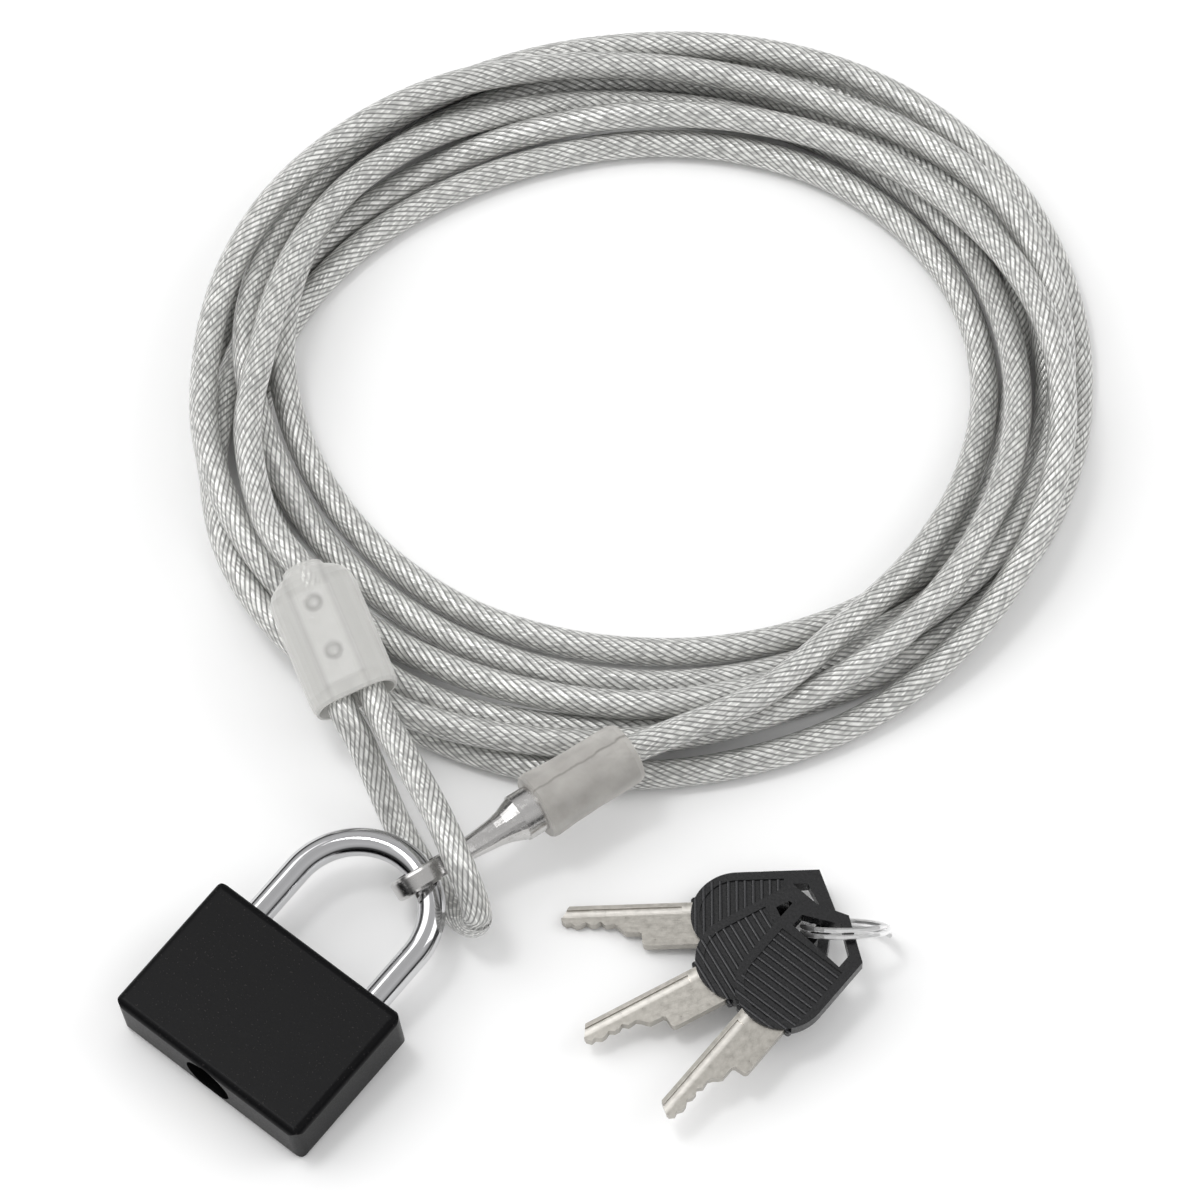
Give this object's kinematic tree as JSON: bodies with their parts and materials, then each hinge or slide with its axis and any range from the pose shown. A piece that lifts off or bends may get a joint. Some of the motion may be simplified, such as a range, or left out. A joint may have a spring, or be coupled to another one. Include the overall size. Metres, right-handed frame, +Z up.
{
  "type": "laptop cable lock",
  "caption": "Small black keyed padlock with a chrome shackle, a long clear-coated steel cable wound in a loose coil, and flat keys on a split ring.",
  "frame": {"origin": "centre of the rigid fittings' bounding box on the table plane (the cable left out), Z = 0 is the table", "axes": "+X across the padlock, from its latch leg to its long leg; +Y along the padlock from its keyway face towards the coil; +Z up from the table"},
  "size_m": [0.1795, 0.2302, 0.0224],
  "materials": {
    "black_lacquer": "satin",
    "black_plastic": "fine satin",
    "chrome_steel": "polished",
    "plain_steel": "plain",
    "brass_yellow": "machined",
    "nickel_silver": "stamped, slightly warm",
    "clear_jacket": "clear gloss over bright wire rope",
    "frosted": "translucent, frosted"
  },
  "bodies": {
    "cable_set": {"shackle": "chrome_steel", "cable_coil": "clear_jacket", "cable_loop": "clear_jacket", "loop_ferrule": "plain_steel", "loop_sleeve": "frosted", "eye_terminal": "chrome_steel", "eye_sleeve": "frosted", "split_ring": "chrome_steel"},
    "lock": {"lock_body": "black_lacquer", "heel_stop_pin": "plain_steel", "heel_spring": "plain_steel", "latch_spring": "plain_steel", "plug_stop_pin": "plain_steel", "driver_pins": "brass_yellow", "pin_springs": "plain_steel", "chamber_caps": "brass_yellow"},
    "plug": {"cylinder_plug": "brass_yellow", "key_pins": "brass_yellow"},
    "latch": {"latch_bolt": "brass_yellow"},
    "key_1": {"key_1_blade": "nickel_silver", "key_1_head": "black_plastic"},
    "key_2": {"key_2_blade": "nickel_silver", "key_2_head": "black_plastic"},
    "key_3": {"key_3_blade": "nickel_silver", "key_3_head": "black_plastic"}
  },
  "joints": [
    {"name": "lock_slide", "type": "slide", "parent": "cable_set", "child": "lock", "axis": [0, -0.9936, -0.1132], "range_m": [0, 0.01]},
    {"name": "plug_turn", "type": "hinge", "parent": "lock", "child": "plug", "pos_m": [-0.0115, -0.03749, 0.00645], "axis": [0, 0.9936, 0.1132], "range_deg": [-60, 0]},
    {"name": "latch_slide", "type": "slide", "parent": "lock", "child": "latch", "axis": [1, 0, 0], "range_m": [-0.0022, 0]},
    {"name": "key_1_swing", "type": "hinge", "parent": "cable_set", "child": "key_1", "pos_m": [0.0467, 0.03884, 0.00386], "axis": [0, 0, 1], "range_deg": [-8, 8]},
    {"name": "key_2_swing", "type": "hinge", "parent": "cable_set", "child": "key_2", "pos_m": [0.04725, 0.0365, 0.00693], "axis": [0, 0, 1], "range_deg": [-8, 8]},
    {"name": "key_3_swing", "type": "hinge", "parent": "cable_set", "child": "key_3", "pos_m": [0.04961, 0.03552, 0.01019], "axis": [0, 0, 1], "range_deg": [-8, 8]}
  ],
  "couplings": [
    {"joint": "plug_turn", "follows": "latch_slide", "rad_per_m": 475.99}
  ]
}
